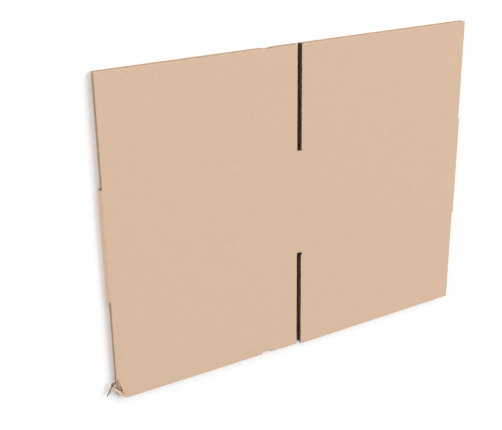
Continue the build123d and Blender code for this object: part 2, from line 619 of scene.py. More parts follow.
@dataclass
class Sheet:
    """One paper sheet of the board: made flat as a grid, cut, thickened, and folded with the blank.

    The rows of its grid are given in millimetres up from the middle of the body, up from the flap score
    and in from the cut end. They are the same above the middle and below it.
    """

    name: str
    carton: Carton
    tear: Tear
    seed: int
    edge_step: float = 1.3
    most_cuts: int = 12
    trim_band: float = 0.5
    slow_scale: float = 0.21
    slow_stray: float = 0.7
    quick_stray: float = 0.5
    cut_margin: float = 2.5
    body_rows: Row = (0.0,)
    score_rows: Row = (0.0,)
    flap_rows: Row = ()
    end_rows: Row = ()

    def heights(self, along: float, up: float) -> Point:
        """Returns the heights of the sheet's outer and inner face over a place on the blank."""
        raise NotImplementedError

    def columns(self) -> list[float]:
        """Returns the places along the blank of the grid's columns."""
        raise NotImplementedError

    def opening(self) -> Sequence[Point]:
        """Returns the outline that the tear opens in this sheet, besides what is crushed away."""
        return self.tear.slit

    def rows(self) -> list[float]:
        """Lists the grid's rows.

        Returns:
            Their places up the blank.
        """
        carton = self.carton
        half = [*self.body_rows, carton.tab_half, *self.flap_rows, carton.half_height]
        half += [carton.half_body + offset for offset in self.score_rows]
        half += [carton.half_height - offset for offset in self.end_rows]
        return in_order([-place for place in half] + half)

    def corner_place(self, along: float, up: float, way: float = 1.0) -> Point:
        """Returns a place across and up from the lower left corner of the front or the back layer."""
        across = way * (along - self.carton.creases[0]) - self.carton.half_slot
        return across, up + self.carton.half_height

    def marks(self, along: float, up: float) -> dict[Mark, float]:
        """Works out what a vertex tells the sheet's finishes.

        Args:
            along: The vertex's place along the blank.
            up: Its place up the blank.

        Returns:
            The value of each mark.
        """
        front = self.carton.is_front(along)
        return {
            Mark.CUT_DISTANCE: self.carton.cut_distance(along, up),
            Mark.TORN: self.tear.share(*self.corner_place(along, up)) if front else 0.0,
            # The shade painted into the colour at the centre slots
            Mark.PAINTED_SLOT_SHADE: self.carton.painted_slot_shade(along, up),
        }

    def grid(self) -> bmesh.types.BMesh:
        """Lays out the flat grid of the sheet, without what the slots take out.

        Returns:
            The grid's mesh.
        """
        bm = bmesh.new()
        columns, rows = self.columns(), self.rows()
        last_column, last_row = len(columns) - 1, len(rows) - 1
        bmesh.ops.create_grid(bm, x_segments=last_column, y_segments=last_row, size=1.0)
        for vertex in bm.verts:
            column = round((vertex.co.x + 1.0) / 2.0 * last_column)
            row = round((vertex.co.y + 1.0) / 2.0 * last_row)
            vertex.co = (columns[column], rows[row], 0.0)
        strip_faces(bm, lambda centre: not self.carton.has_board(centre.x, centre.y))
        return bm

    def cut_away(self, bm: bmesh.types.BMesh, outline: Sequence[Point], way: float = 1.0) -> None:
        """Cuts an outline, given from the torn corner, out of the flat sheet.

        Args:
            bm: The flat sheet.
            outline: The outline's points, across and up from the corner.
            way: 1 for the front layer and -1 for the back one.
        """
        crease = self.carton.creases[0]
        bottom = -self.carton.half_height
        low = [min(point[axis] for point in outline) - self.cut_margin for axis in (0, 1)]
        high = [max(point[axis] for point in outline) + self.cut_margin for axis in (0, 1)]
        parts = set()
        for face in bm.faces:
            places = [self.corner_place(vertex.co.x, vertex.co.y, way) for vertex in face.verts]
            if all(
                max(place[axis] for place in places) > low[axis]
                and min(place[axis] for place in places) < high[axis]
                for axis in (0, 1)
            ):
                parts.update([face, *face.edges, *face.verts])
        for (x0, y0), (x1, y1) in sides(outline):
            cut = bmesh.ops.bisect_plane(
                bm,
                geom=list(parts),
                dist=ON_CUT,
                plane_co=(crease + way * (self.carton.half_slot + x0), bottom + y0, 0.0),
                plane_no=Vector((way * (y1 - y0), x0 - x1, 0.0)).normalized(),
            )
            parts.update(cut["geom"])
            parts.update(cut["geom_cut"])
        strip_faces(bm, lambda centre: inside_outline(outline, self.corner_place(centre.x, centre.y, way)))

    def cut(self, bm: bmesh.types.BMesh) -> None:
        """Cuts away the crushed corners of both layers and what the tear opens.

        Args:
            bm: The flat sheet.
        """
        self.cut_away(bm, self.tear.ragged_line(self.tear.back_line, self.seed + 1), way=-1.0)
        self.cut_away(bm, self.tear.ragged_line(self.tear.crush_line, self.seed))
        self.cut_away(bm, self.opening())

    def fray(self, bm: bmesh.types.BMesh) -> None:
        """Divides the long cut edges and lets their vertices stray, as a blunt cutter leaves them.

        Args:
            bm: The flat sheet.
        """
        groups: dict[int, list[bmesh.types.BMEdge]] = {}
        for edge in bm.edges:
            cuts = int(edge.calc_length() / self.edge_step)
            if edge.is_boundary and cuts > 0:
                groups.setdefault(min(cuts, self.most_cuts), []).append(edge)
        for cuts in sorted(groups):
            bmesh.ops.subdivide_edges(bm, edges=groups[cuts], cuts=cuts)
        chance = random.Random(self.seed)
        top = self.carton.half_height - self.trim_band
        for vertex in bm.verts:
            if not vertex.is_boundary:
                continue
            along, up, _ = vertex.co
            across_arc, up_arc = self.carton.corner_shift(along, up)
            vertex.co.x += across_arc
            vertex.co.y += up_arc
            cut = Cut.SLOT if self.carton.half_body < abs(up) < top else Cut.TRIM
            slow = self.slow_stray * wander(along * self.slow_scale, up * self.slow_scale, float(self.seed))
            stray = cut.value * (slow + chance.uniform(-self.quick_stray, self.quick_stray))
            if cut is Cut.SLOT:
                vertex.co.x += stray
            else:
                vertex.co.y += stray

    def build(self) -> bpy.types.Object:
        """Makes the sheet.

        Returns:
            The folded sheet's object, whose second material slot is for its cut edges.
        """
        bm = self.grid()
        self.cut(bm)
        bmesh.ops.dissolve_degenerate(bm, dist=SMALLEST_EDGE, edges=bm.edges[:])
        self.fray(bm)
        layers = {mark: bm.verts.layers.float.new(mark.value) for mark in Mark}
        inner = set(thicken(bm))
        for face in bm.faces:
            face.material_index = int(0 < sum(vertex in inner for vertex in face.verts) < len(face.verts))
        for vertex in bm.verts:
            across_push, up_push = self.carton.nick_shift(vertex.co.x, vertex.co.y)
            vertex.co.x += across_push
            vertex.co.y += up_push
            along, up, _ = vertex.co
            vertex.co.z = self.heights(along, up)[int(vertex in inner)]
            for mark, value in self.marks(along, up).items():
                vertex[layers[mark]] = value
            vertex.co = self.carton.place(vertex.co)
        return make_object(bm, self.name)


@dataclass
class LinerSheet(Sheet):
    """A flat liner of the board, on its outside or its inside."""

    outside: bool = True
    washboard: float = 0.009
    column_step: float = 2.0
    edge_columns: Point = (0.45, 1.2)
    tab_end_column: float = 0.4
    tab_bend: float = 6.0
    tab_columns: int = 13
    bend_columns: int = 10
    fold_columns: int = 14
    crease_columns: int = 8
    body_rows: Row = (0.0, 18.0, 36.0, 54.0, 69.0)
    score_rows: Row = (-3.2, -2.0, -1.0, 0.0, 1.0, 2.0, 3.2)
    flap_rows: Row = (90.0, 105.0, 120.0, 135.0, 150.0, 165.0, 180.0, 195.0, 210.0, 225.0)
    end_rows: Row = (2.6, 1.2, 0.45)

    def opening(self) -> Sequence[Point]:
        """Returns the outline that the tear opens: the outer liner is torn off, the inner one slit."""
        return self.tear.ragged_line(self.tear.liner_line, self.seed) if self.outside else self.tear.slit

    def heights(self, along: float, up: float) -> Point:
        """Finds the liner's two faces.

        Args:
            along: The place along the blank.
            up: The place up the blank.

        Returns:
            The heights of the outer and the inner face.
        """
        liner = self.carton.liner
        half = self.carton.board / 2.0
        outer = half - self.sunk(along) if self.outside else liner - half
        return outer, outer - liner

    def sunk(self, along: float) -> float:
        """Works out how far the outer liner sinks between the flutes that carry it.

        Args:
            along: The place along the blank.

        Returns:
            The depth in millimetres.
        """
        for start, end in self.carton.runs:
            if start <= along <= end:
                flutes = (along - start) / (end - start) * self.carton.flutes
                return self.washboard * (1.0 + math.cos(FULL_TURN * flutes))
        return 0.0

    def columns(self) -> list[float]:
        """Lists the grid's columns, close together at the cuts, in the folds and at the centre crease.

        Returns:
            Their places along the blank.
        """
        carton = self.carton
        tab_end = -carton.tab_width
        near, wide = self.edge_columns
        found = [tab_end, tab_end + self.tab_end_column]
        found += even(tab_end + wide, -self.tab_bend, self.tab_columns)
        found += even(-self.tab_bend, carton.half_slot, self.bend_columns)
        for start, end in carton.panel_spans():
            count = round((end - start - 2.0 * wide) / self.column_step)
            found += [start, start + near, *even(start + wide, end - wide, count), end - near, end]
        first, middle, last = carton.creases
        for crease in (first, last):
            found += even(crease - carton.shoulder, crease + carton.shoulder, self.fold_columns)
        found += even(middle - carton.half_slot, middle + carton.half_slot, self.crease_columns)
        return in_order(found)


@dataclass
class FlutedMedium(Sheet):
    """The wavy sheet between the liners."""

    amplitude: float = 1.35
    steps: int = 10
    lean: float = 0.55
    lean_scale: Point = (0.06, 0.004)
    lean_layer: float = 7.7
    tab_pitch: float = 8.0
    tab_columns: int = 26
    crease_reach: float = 3.0
    crease_columns: int = 4
    column_gap: float = 0.3
    score_rows: Row = (-0.8, 0.0, 1.2)
    flap_rows: Row = (150.0,)
    end_rows: Row = (5.0, 1.4)

    def wave(self, along: float, up: float) -> Point:
        """Finds the sheet's middle over a place on the blank.

        Args:
            along: The place along the blank.
            up: The place up the blank.

        Returns:
            The middle's height and its slope.
        """
        runs = self.carton.runs
        beside = [(max(start - along, along - end, 0.0), number) for number, (start, end) in enumerate(runs)]
        gone, number = min(beside)
        start, end = runs[number]
        crest = -self.amplitude if self.carton.is_front(start) else self.amplitude
        if gone > 0.0 and along < self.carton.half_slot:
            return crest * math.cos(FULL_TURN * gone / self.tab_pitch), 0.0
        if gone > 0.0:
            return crest * (1.0 - smooth_step(0.0, self.crease_reach, gone)), 0.0
        pitch = (end - start) / self.carton.flutes
        stray = wander(along * self.lean_scale[0], up * self.lean_scale[1], self.lean_layer)
        turn = FULL_TURN * (along - start) / pitch
        turn += self.lean * stray * abs(math.sin(0.5 * turn))
        return crest * math.cos(turn), -crest * FULL_TURN / pitch * math.sin(turn)

    def heights(self, along: float, up: float) -> Point:
        """Finds the medium's two faces, so far apart that it is as thick on its flanks as on its crests.

        Args:
            along: The place along the blank.
            up: The place up the blank.

        Returns:
            The heights of the outer and the inner face.
        """
        middle, slope = self.wave(along, up)
        half = 0.5 * self.carton.medium * math.hypot(1.0, slope)
        limit = self.carton.board / 2.0 - self.carton.liner
        return min(middle + half, limit), max(middle - half, -limit)

    def columns(self) -> list[float]:
        """Lists the grid's columns: as many to every flute, and a few in the folds and the glue tab.

        Returns:
            Their places along the blank.
        """
        carton = self.carton
        found = even(-carton.tab_width, carton.half_slot, self.tab_columns)
        for start, end in carton.runs:
            found += even(start, end, carton.flutes * self.steps)
        cuts = [carton.half_slot, carton.blank_end]
        for crease in carton.creases:
            cuts += [crease - carton.half_slot, crease + carton.half_slot]
            found += even(crease - self.crease_reach, crease + self.crease_reach, self.crease_columns)
        found = [place for place in found if place < carton.blank_end]
        clear = [place for place in found if min(abs(place - cut) for cut in cuts) > self.column_gap]
        return in_order(clear + cuts)


def curve_point(line: Sequence[Triple], share: float) -> tuple[Vector, Vector]:
    """Finds a point on the smooth curve through a line's points.

    Args:
        line: The points.
        share: How far along the curve, from 0 to 1.

    Returns:
        The point and the curve's direction there.
    """
    points = [Vector(point) for point in line]
    points = [2.0 * points[0] - points[1], *points, 2.0 * points[-1] - points[-2]]
    spans = len(line) - 1
    span = min(int(share * spans), spans - 1)
    t = share * spans - span
    # The cubic from b to c heads as from a to c where it leaves b, and as from b to d where it comes to c
    a, b, c, d = points[span:span + 4]
    bend = 2.0 * a - 5.0 * b + 4.0 * c - d
    twist = 3.0 * b - a - 3.0 * c + d
    place = 0.5 * (2.0 * b + (c - a) * t + bend * t * t)
    place += 0.5 * twist * t ** 3
    direction = 0.5 * (c - a) + bend * t
    direction += 1.5 * twist * t * t
    return place, direction.normalized()


@dataclass(frozen=True)
class Fibre:
    """A stiff, tapering paper fibre: its heading and its rise in radians, and its sizes in millimetres."""

    yaw: float
    pitch: float
    length: float
    radius: float
    sunk: float = 0.25
    tip_share: float = 0.3
    sides: int = 4

    def add(self, bm: bmesh.types.BMesh, root: Vector) -> list[bmesh.types.BMVert]:
        """Adds the fibre to a mesh.

        Args:
            bm: The mesh.
            root: Where the fibre leaves the paper.

        Returns:
            The fibre's vertices.
        """
        turn = Matrix.Rotation(self.yaw, 4, "Z") @ Matrix.Rotation(QUARTER_TURN - self.pitch, 4, "Y")
        offset = Matrix.Translation((0.0, 0.0, 0.5 * self.length - self.sunk))
        made = bmesh.ops.create_cone(
            bm,
            cap_ends=True,
            segments=self.sides,
            radius1=self.radius,
            radius2=self.radius * self.tip_share,
            depth=self.length,
            matrix=Matrix.Translation(root) @ turn @ offset,
        )
        return made["verts"]


@dataclass(frozen=True)
class Scrap:
    """A torn strip of liner or of fluted paper that still hangs on at the corner; some strips are painted
    dark with shade.

    Its line and half widths are in millimetres from the corner, with heights from the floor. Its sides are
    ragged with coarse and fine waves and some notches, it curls across, and its far end is torn off unevenly.
    """

    line: tuple[Triple, ...]
    half_widths: Row
    curl: float = 0.3
    twist: float = 0.0
    twist_start: float = 0.4
    thick: float = 0.14
    steps: int = 40
    strands: int = 8
    ragged: float = 0.5
    waves: Triple = (5.0, 15.0, 9.0)
    wave_rows: Triple = (0.3, 5.3, 8.3)
    wave_layer: float = 0.7
    fine_share: float = 0.45
    notch_share: float = 1.3
    notch_limit: float = 0.25
    points: float = 0.0
    points_start: float = 0.75
    points_scale: float = 1.7
    points_layer: float = 2.9
    crumple: float = 0.10
    crumple_scale: float = 0.45
    # Whether the strip takes the second material: fluted paper painted dark with shade
    dark_in_painted_shade: bool = False

    def half_width(self, share: float) -> float:
        """Finds the strip's half width.

        Args:
            share: How far along the strip, from 0 to 1.

        Returns:
            The half width in millimetres.
        """
        spread = share * (len(self.half_widths) - 1)
        first = min(int(spread), len(self.half_widths) - 2)
        return lerp(self.half_widths[first], self.half_widths[first + 1], spread - first)

    def stray(self, phase: float, share: float) -> float:
        """Works out how far a ragged side strays.

        Args:
            phase: Where the side lies in the noise that makes it ragged.
            share: How far along the strip, from 0 to 1.

        Returns:
            The stray, which the strip's raggedness scales.
        """
        places = [phase + waves * share for waves in self.waves]
        coarse, fine, notch = (wander(*place, self.wave_layer) for place in zip(places, self.wave_rows))
        return coarse + self.fine_share * fine - self.notch_share * max(0.0, notch - self.notch_limit)

    def point(self, share: float, sideways: float, phases: Point) -> Vector:
        """Finds a point of the strip's upper face.

        Args:
            share: How far along the strip, from 0 to 1.
            sideways: How far from its line to its side, from -1 to 1.
            phases: Where its two sides lie in the noise that makes them ragged.

        Returns:
            The point in millimetres from the corner.
        """
        place, direction = curve_point(self.line, share)
        stray = self.stray(phases[int(sideways > 0.0)], share)
        reach = self.half_width(share) * sideways * (1.0 + self.ragged * stray * abs(sideways) ** 2)
        across = Vector((-direction.y, direction.x, 0.0)).normalized()
        upward = direction.cross(across).normalized()
        turn = Matrix.Rotation(self.twist * (self.twist_start + share), 3, direction)
        place += turn @ (across * reach)
        place -= turn @ (upward * self.curl * sideways * sideways)
        uneven = wander(phases[0], self.points_scale * sideways, self.points_layer)
        place += direction * self.points * uneven * smooth_step(self.points_start, 1.0, share)
        place.z += self.crumple * noise.noise(place * self.crumple_scale)
        return place

    def strip(self, phases: Point) -> bmesh.types.BMesh:
        """Makes the scrap from a grid bent along its line.

        Args:
            phases: Where its two sides lie in the noise that makes them ragged.

        Returns:
            The scrap's mesh, closed, in millimetres from the corner.
        """
        bm = bmesh.new()
        bmesh.ops.create_grid(bm, x_segments=self.steps, y_segments=self.strands, size=1.0)
        for vertex in bm.verts:
            vertex.co = self.point((vertex.co.x + 1.0) / 2.0, vertex.co.y, phases)
        bmesh.ops.translate(bm, verts=thicken(bm), vec=(0.0, 0.0, -self.thick))
        # A strip in painted shade takes the dark second material
        for face in bm.faces:
            face.material_index = int(self.dark_in_painted_shade)
        return bm


@dataclass
class TornCorner:
    """What hangs on at the torn corner: a band, a spike, a flap, a loop, three tags and fibres; the spike and
    the loop are painted dark with shade.
    """

    name: str
    carton: Carton
    tear: Tear
    seed: int = 23
    phase_range: Point = (0.0, 90.0)
    fibres: int = 46
    fibre_inset: float = 0.2
    fibre_height: float = 9.42
    fibre_yaws: Point = (-1.1, 1.1)
    fibre_pitches: Point = (-0.5, 0.1)
    fibre_lengths: Point = (0.7, 2.3)
    fibre_radii: Point = (0.04, 0.1)
    scraps: tuple[Scrap, ...] = (
        Scrap(
            ((-4.6, 19.0, 8.6), (-1.6, 16.0, 9.2), (2.2, 11.6, 9.5), (5.2, 7.8, 9.5), (8.2, 5.2, 9.3)),
            (1.0, 1.9, 2.2, 2.2, 1.3), twist=-0.15, points=0.8,
        ),
        # The spike, painted dark with shade
        Scrap(
            (
                (-0.6, 29.6, 8.8), (-4.6, 27.2, 9.1), (-8.2, 23.6, 8.6),
                (-11.6, 17.2, 7.4), (-14.2, 11.4, 6.2), (-15.6, 7.6, 5.4),
            ),
            (0.6, 0.8, 0.85, 0.8, 0.6, 0.1), curl=0.2, twist=0.5, ragged=0.2, dark_in_painted_shade=True,
        ),
        Scrap(
            ((-2.6, 22.6, 8.5), (-5.6, 21.6, 8.7), (-8.2, 17.6, 7.8), (-10.4, 13.2, 6.8), (-12.0, 9.8, 5.9)),
            (1.6, 2.3, 2.0, 1.2, 0.12), curl=0.5, twist=-0.35, ragged=0.35, points=0.6,
        ),
        # The loop, painted dark with shade
        Scrap(
            (
                (-1.8, 24.6, 8.3), (-4.0, 28.0, 9.1), (-7.2, 28.8, 9.4),
                (-8.6, 26.2, 9.2), (-5.8, 22.8, 8.9), (-3.2, 20.6, 8.6),
            ),
            (0.5, 0.7, 0.7, 0.6, 0.5, 0.3), curl=0.1, twist=0.5, ragged=0.3, dark_in_painted_shade=True,
        ),
        Scrap(
            ((2.2, 33.4, 9.5), (2.3, 30.4, 9.35), (2.8, 27.6, 9.0)),
            (0.2, 0.8, 0.3), twist=0.3, points=0.5, steps=14,
        ),
        Scrap(
            ((8.8, 8.6, 9.5), (7.8, 10.4, 9.3), (6.4, 12.4, 8.9)),
            (0.9, 0.9, 0.2), points=0.4, steps=14,
        ),
        Scrap(
            ((0.2, 26.6, 6.2), (-1.4, 23.2, 6.8), (-2.2, 19.4, 6.9)),
            (0.9, 1.2, 0.5), curl=0.4, twist=0.3, points=0.8, steps=18,
        ),
    )

    def add_fibres(self, bm: bmesh.types.BMesh, chance: random.Random) -> None:
        """Adds the fibres that stand out of the liner's torn edge, most of them over the torn place.

        Args:
            bm: The mesh, in millimetres from the corner.
            chance: The source of their places, headings and sizes.
        """
        line = self.tear.liner_line[1:-2]
        for _ in range(self.fibres):
            share = chance.random() * (len(line) - 1)
            first = int(share)
            across, up = (lerp(a, b, share - first) for a, b in zip(line[first], line[first + 1]))
            fibre = Fibre(
                yaw=math.pi + chance.uniform(*self.fibre_yaws),
                pitch=chance.uniform(*self.fibre_pitches),
                length=chance.uniform(*self.fibre_lengths),
                radius=chance.uniform(*self.fibre_radii),
            )
            fibre.add(bm, Vector((across + self.fibre_inset, up, self.fibre_height)))

    def build(self) -> bpy.types.Object:
        """Makes all the scraps as one piece.

        Returns:
            The object of the torn corner.
        """
        chance = random.Random(self.seed)
        whole = bmesh.new()
        for scrap in self.scraps:
            part = scrap.strip((chance.uniform(*self.phase_range), chance.uniform(*self.phase_range)))
            mesh = bpy.data.meshes.new("scrap")
            part.to_mesh(mesh)
            part.free()
            whole.from_mesh(mesh)
            bpy.data.meshes.remove(mesh)
        self.add_fibres(whole, chance)
        carton = self.carton
        corner = Vector((carton.half_slot - carton.panel, carton.centre_y - carton.half_height, 0.0))
        bmesh.ops.translate(whole, verts=whole.verts[:], vec=corner)
        bmesh.ops.scale(whole, verts=whole.verts[:], vec=(MM, MM, MM))
        return make_object(whole, self.name)


@dataclass
class CutFibres:
    """The paper fibres that the slotting blades pull out along the cuts beside the flutes."""

    name: str
    carton: Carton
    seed: int = 41
    spacing: float = 4.2
    heights: Row = (1.66, 1.7, 1.5, -1.6)
    lengths: Point = (0.5, 1.9)
    radii: Point = (0.07, 0.16)
    yaws: Point = (-1.0, 1.0)
    pitches: Point = (-0.5, 0.25)
    lowest_at_corner: float = -190.0

    def edges(self) -> list[tuple[float, float, float, float]]:
        """Lists the cuts beside the flutes.

        Returns:
            For each cut its place along the blank, the heading from the board into the cut, and where the
            cut starts and ends up the blank.
        """
        carton = self.carton
        body, top = carton.half_body, carton.half_height
        found = []
        for low, high in ((-top, -body), (body, top)):
            for crease in carton.creases:
                found.append((crease - carton.half_slot, 0.0, low, high))
                found.append((crease + carton.half_slot, math.pi, low, high))
            found.append((carton.half_slot, math.pi, low, high))
        found.append((carton.blank_end, 0.0, -top, top))
        return found

    def build(self) -> bpy.types.Object:
        """Makes all the fibres as one piece.

        Returns:
            The object of the fibres.
        """
        chance = random.Random(self.seed)
        carton = self.carton
        bm = bmesh.new()
        for along, heading, low, high in self.edges():
            for number in range(int((high - low) / self.spacing)):
                up = low + (number + chance.random()) * self.spacing
                if abs(along - carton.creases[0]) < 2.0 * carton.half_slot and up < self.lowest_at_corner:
                    continue
                root = Vector((along, up, chance.choice(self.heights)))
                length = lerp(*self.lengths, chance.random() ** 2)
                radius = chance.uniform(*self.radii)
                yaw = heading + chance.uniform(*self.yaws)
                fibre = Fibre(yaw, chance.uniform(*self.pitches), length, radius)
                self.fold(fibre.add(bm, root), root)
        return make_object(bm, self.name)

    def fold(self, verts: Iterable[bmesh.types.BMVert], root: Vector) -> None:
        """Carries one fibre from the flat blank to the folded carton as a stiff piece.

        Args:
            verts: The fibre's vertices.
            root: The place of its root along, up and height.
        """
        folded = self.carton.place(root)
        sign = 1.0 if self.carton.is_front(root.x) else -1.0
        for vertex in verts:
            offset = (vertex.co - root) * MM
            vertex.co = folded + Vector((sign * offset.x, offset.y, sign * offset.z))


@dataclass
class Graph:
    """A node tree with short calls for the nodes that the finishes use."""

    tree: bpy.types.NodeTree

    def feed(self, socket: Socket, value: object) -> None:
        """Gives a socket a value.

        Args:
            socket: The socket.
            value: Another socket to link it to, or a constant, for a colour its red, green and blue.
        """
        if isinstance(value, Socket):
            self.tree.links.new(value, socket)
        elif socket.type == "RGBA":
            socket.default_value = (*value, 1.0)
        else:
            socket.default_value = value

    def node(
        self, kind: str, inputs: Mapping[str | int, object] | None = None, **settings: object
    ) -> bpy.types.Node:
        """Adds a node.

        Args:
            kind: The node's type.
            inputs: The values of its inputs, by their names or numbers.
            **settings: Its own settings.

        Returns:
            The node.
        """
        made = self.tree.nodes.new(kind)
        for name, value in settings.items():
            setattr(made, name, value)
        for key, value in (inputs or {}).items():
            self.feed(made.inputs[key], value)
        return made

    def maths(self, operation: str, *values: object) -> Socket:
        """Adds a Math node on sockets or numbers, and returns its output."""
        return self.node("ShaderNodeMath", dict(enumerate(values)), operation=operation).outputs[0]

    def vector(self, operation: str, *values: object, output: str = "Vector") -> Socket:
        """Adds a Vector Math node on sockets or vectors, and returns one of its outputs."""
        return self.node("ShaderNodeVectorMath", dict(enumerate(values)), operation=operation).outputs[output]

    def span(self, value: Socket, given: Point, wanted: tuple[object, object] = (0.0, 1.0)) -> Socket:
        """Adds a Map Range node from the given span to the wanted one, and returns its output."""
        return self.ranged("LINEAR", value, given, wanted)

    def eased(self, value: Socket, given: Sequence[object], wanted: Point = (0.0, 1.0)) -> Socket:
        """Adds a Map Range node that eases in and out of its span, and returns its output."""
        return self.ranged("SMOOTHSTEP", value, given, wanted)

    def ranged(self, way: str, value: Socket, given: Sequence[object], wanted: Sequence[object]) -> Socket:
        """Adds a Map Range node.

        Args:
            way: How it goes from one end to the other.
            value: The socket that it maps.
            given: The span that the value comes from, as sockets or numbers.
            wanted: The span that it is mapped to.

        Returns:
            The node's output.
        """
        names = ("Value", "From Min", "From Max", "To Min", "To Max")
        inputs = dict(zip(names, (value, *given, *wanted)))
        return self.node("ShaderNodeMapRange", inputs, interpolation_type=way).outputs["Result"]

    def noise(self, vector: Socket, scale: object, *, detail: float, rough: float) -> Socket:
        """Adds a Noise Texture node, and returns its value."""
        inputs = {"Vector": vector, "Scale": scale, "Detail": detail, "Roughness": rough}
        return self.node("ShaderNodeTexNoise", inputs, noise_dimensions="3D").outputs[0]

    def blend(self, share: Socket, first: object, second: object) -> Socket:
        """Adds a Mix node between two colours, and returns its output."""
        inputs = dict(zip(COLOUR_MIX_INPUTS, (share, first, second)))
        return self.node("ShaderNodeMix", inputs, data_type="RGBA").outputs[COLOUR_MIX_OUTPUT]

    def tinted(self, colour: object, mask: Socket, share: object, tint: Triple) -> Socket:
        """Returns a colour with a share of a tint laid over it where a mask is."""
        return self.blend(self.maths("MULTIPLY", mask, share), colour, tint)

    def shaded(self, colour: Socket, shade: Socket) -> Socket:
        """Returns a colour made lighter or darker by a shade about 1."""
        joined = self.node("ShaderNodeCombineXYZ", dict.fromkeys("XYZ", shade))
        return self.vector("MULTIPLY", colour, joined.outputs["Vector"])

    def attribute(self, mark: Mark) -> Socket:
        """Returns the value of a mark on the surface."""
        return self.node("ShaderNodeAttribute", attribute_name=mark.value).outputs["Fac"]

    def object_place(self) -> Socket:
        """Returns the place on the object, in its own coordinates."""
        return self.node("ShaderNodeTexCoord").outputs["Object"]

    def effect(self, tree: bpy.types.NodeTree, **inputs: object) -> bpy.types.Node:
        """Adds a shared effect with its inputs given by name in small letters, and returns its node."""
        named = {name.capitalize(): value for name, value in inputs.items()}
        return self.node("ShaderNodeGroup", named, node_tree=tree)

    def finish(self, output: str, shader: bpy.types.Node) -> None:
        """Adds the tree's output node of a kind, and joins a shader to it."""
        self.node(output, {"Surface": shader.outputs[0]})


def fresh_graph(owner: bpy.types.Material | bpy.types.World) -> Graph:
    """Turns on the nodes of a new material or world, and clears those that it starts with.

    Args:
        owner: The material or world.

    Returns:
        Its empty graph.
    """
    owner.use_nodes = True
    owner.node_tree.nodes.clear()
    return Graph(owner.node_tree)


def new_effect(
    name: str, numbers: Sequence[str], results: Sequence[str], vectors: Sequence[str] = ("Vector",)
) -> tuple[Graph, Mapping[str, Socket], Mapping[str, Socket]]:
    """Starts a shared effect.

    Args:
        name: The node group's name.
        numbers: The names of the inputs that are numbers.
        results: The names of the outputs, which are numbers too.
        vectors: The names of the inputs that are vectors, and come first.

    Returns:
        The group's graph, and by name the sockets that give its inputs and those that take its results.
    """
    tree = bpy.data.node_groups.new(name, "ShaderNodeTree")
    for way, kind, labels in (
        ("INPUT", "NodeSocketVector", vectors),
        ("INPUT", "NodeSocketFloat", numbers),
        ("OUTPUT", "NodeSocketFloat", results),
    ):
        for label in labels:
            tree.interface.new_socket(name=label, in_out=way, socket_type=kind)
    graph = Graph(tree)
    return graph, graph.node("NodeGroupInput").outputs, graph.node("NodeGroupOutput").inputs


